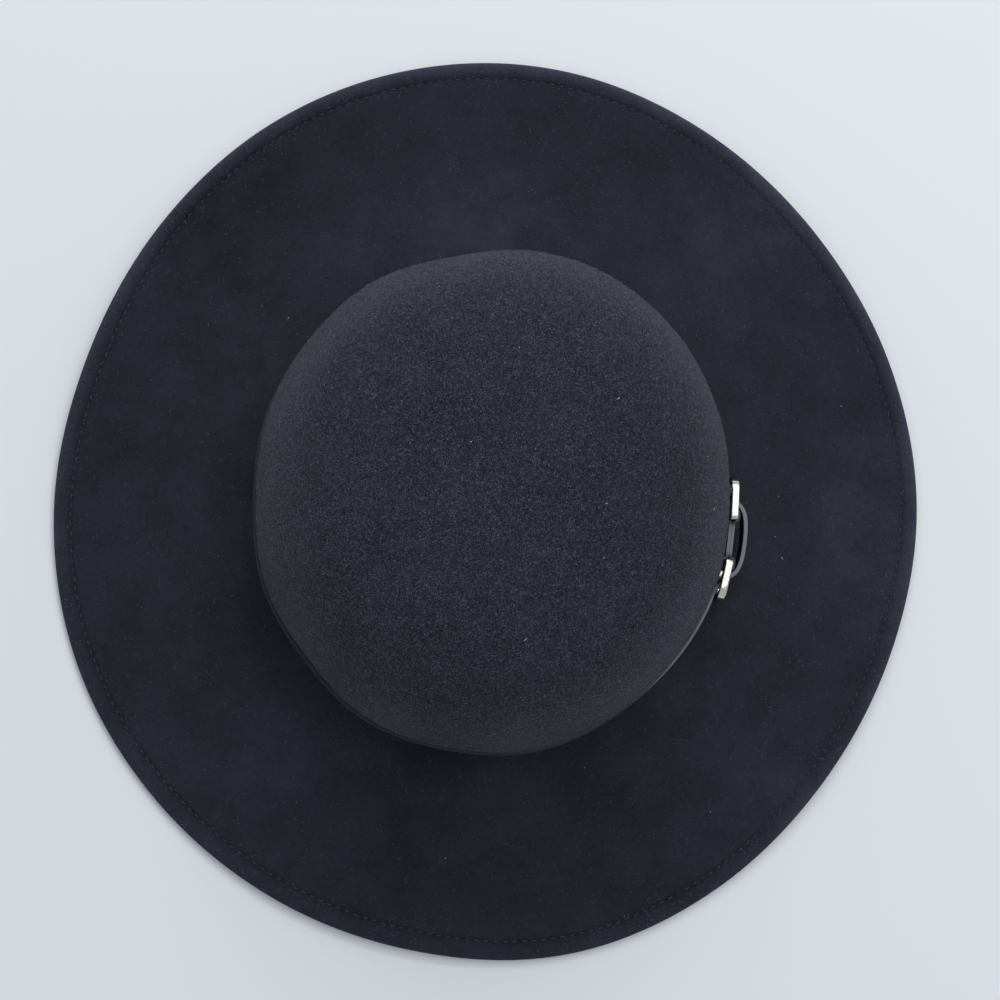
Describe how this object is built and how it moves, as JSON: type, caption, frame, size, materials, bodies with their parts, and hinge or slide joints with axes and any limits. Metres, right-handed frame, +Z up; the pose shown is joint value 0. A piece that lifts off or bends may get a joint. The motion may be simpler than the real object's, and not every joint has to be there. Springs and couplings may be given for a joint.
{
  "type": "wide-brimmed felt hat",
  "caption": "Round-crowned, wide-brimmed felt hat with a turned and stitched edge and a narrow leather band threaded through flat D-rings on one side.",
  "frame": {"origin": "middle of the hat's box, on the surface that the brim rests on", "axes": "+Z up, +X towards the wearer's left where the rings are, +Y towards the back of the hat"},
  "size_m": [0.3428, 0.3568, 0.1197],
  "materials": {
    "wool_felt": "matte, short brushed nap",
    "black_leather": "smooth, slightly glossy",
    "polished_nickel": "polished"
  },
  "bodies": {
    "root": {"felt_body": "wool_felt", "leather_band": "black_leather", "link_strap": "black_leather", "d_ring_back": "polished_nickel", "d_ring_front": "polished_nickel"}
  },
  "joints": []
}
